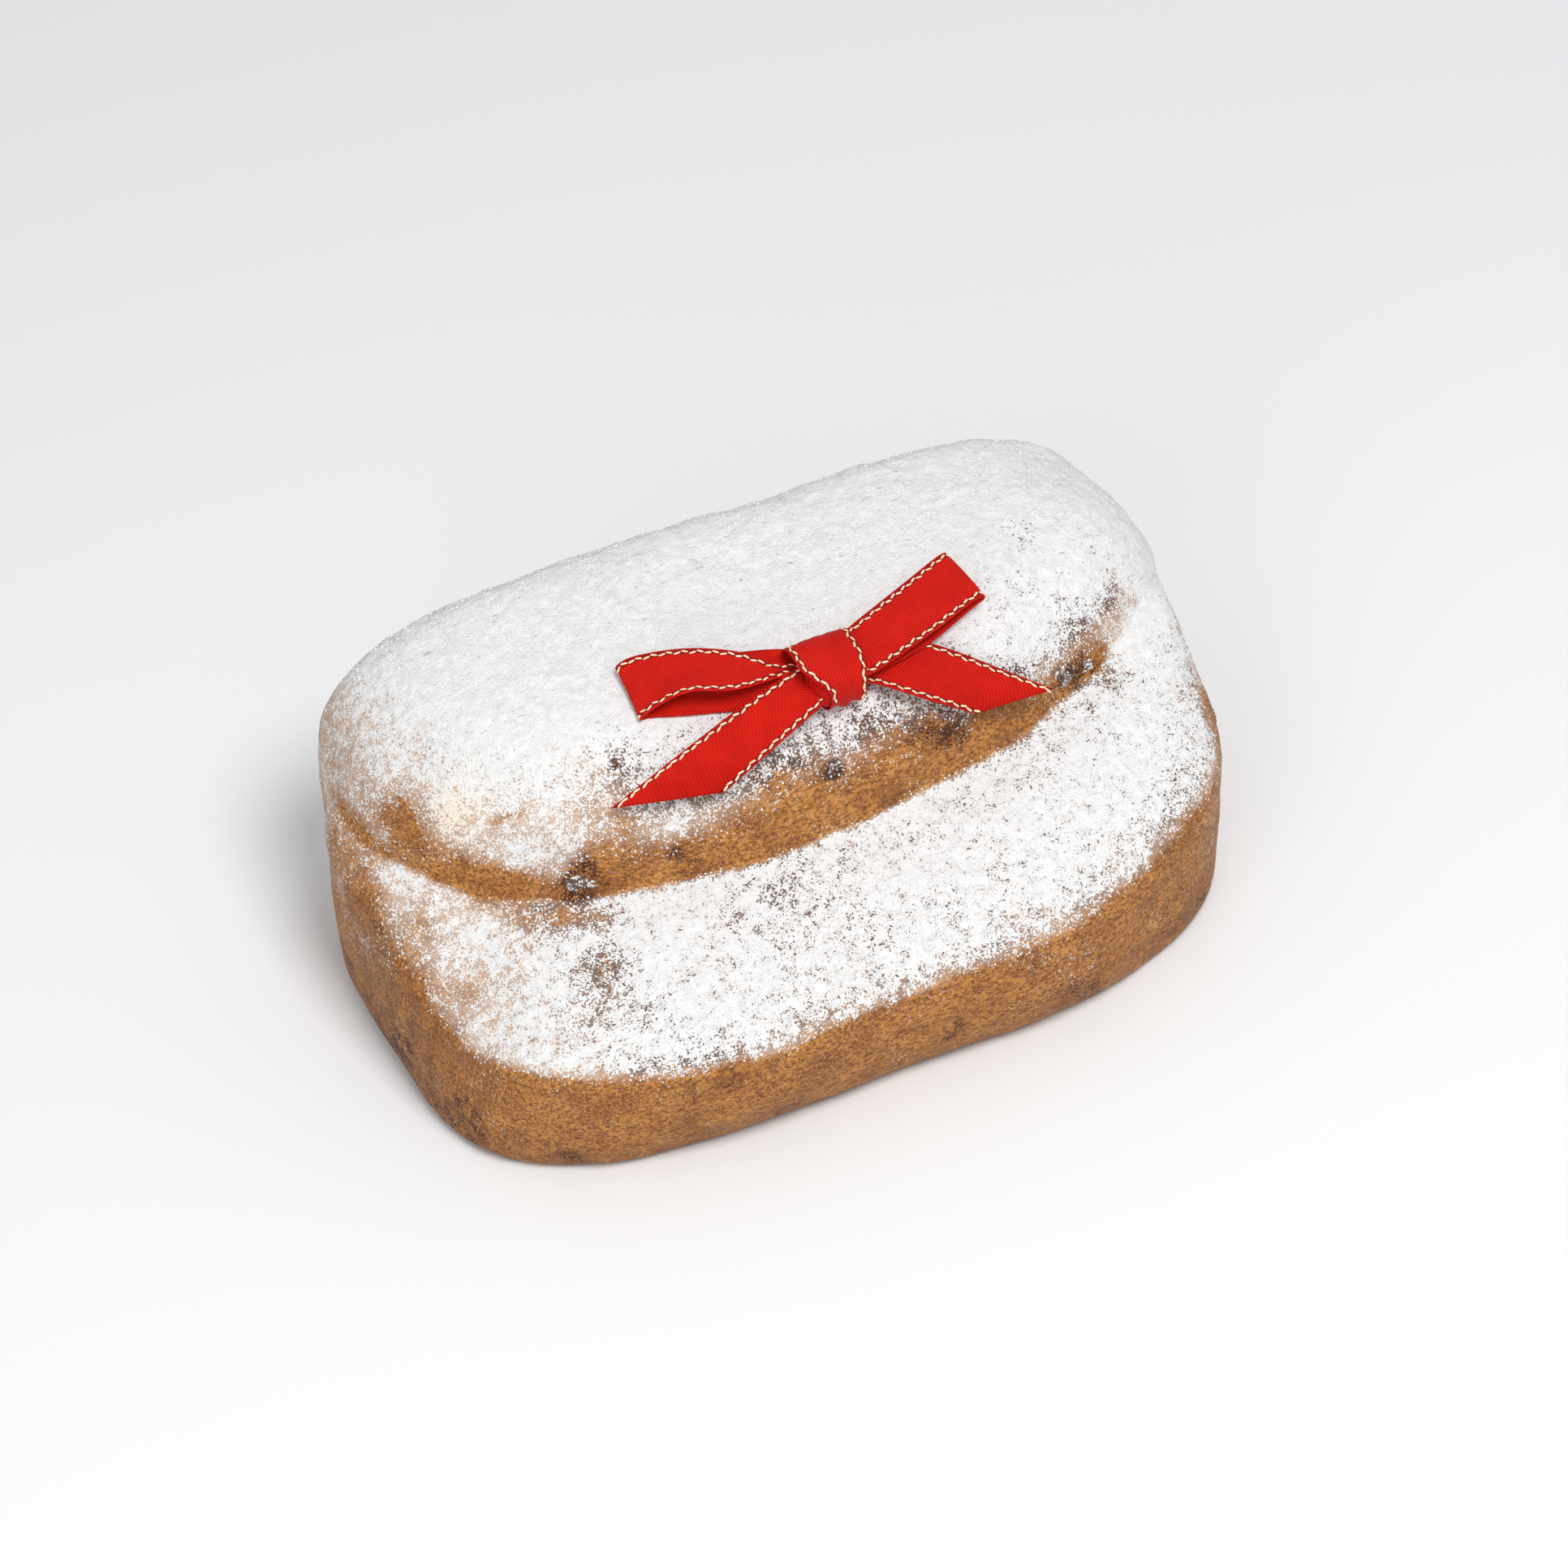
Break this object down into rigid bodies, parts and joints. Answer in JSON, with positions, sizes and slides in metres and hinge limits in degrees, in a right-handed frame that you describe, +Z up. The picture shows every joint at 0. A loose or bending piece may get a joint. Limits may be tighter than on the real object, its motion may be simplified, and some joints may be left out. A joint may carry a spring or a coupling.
{
  "type": "christmas stollen",
  "caption": "Sugar-dusted folded stollen loaf with raisins in its crust and a narrow red ribbon tied in a bow lying on top",
  "frame": {"origin": "middle of the loaf's flat underside, at the centre of the bounding box's bottom face", "axes": "+X along the loaf, +Y towards the back of the loaf, where the folded lobe is, +Z up"},
  "size_m": [0.2058, 0.129, 0.0931],
  "materials": {
    "sugared_crust": "matte, powdery icing sugar over golden brown crust",
    "raisin": "wrinkled, satin, dusted with sugar",
    "ribbon": "woven taffeta with gold thread stitched along both edges"
  },
  "bodies": {
    "root": {"loaf": "sugared_crust", "raisin_front_left": "raisin", "raisin_front_right": "raisin", "raisin_fold_right": "raisin", "raisin_under_tail": "raisin", "raisin_top_left": "raisin", "raisin_shoulder": "raisin", "raisin_shoulder_small": "raisin", "raisin_back_left": "raisin", "raisin_back_right": "raisin", "raisin_right_end": "raisin", "ribbon_bow": "ribbon"}
  },
  "joints": []
}
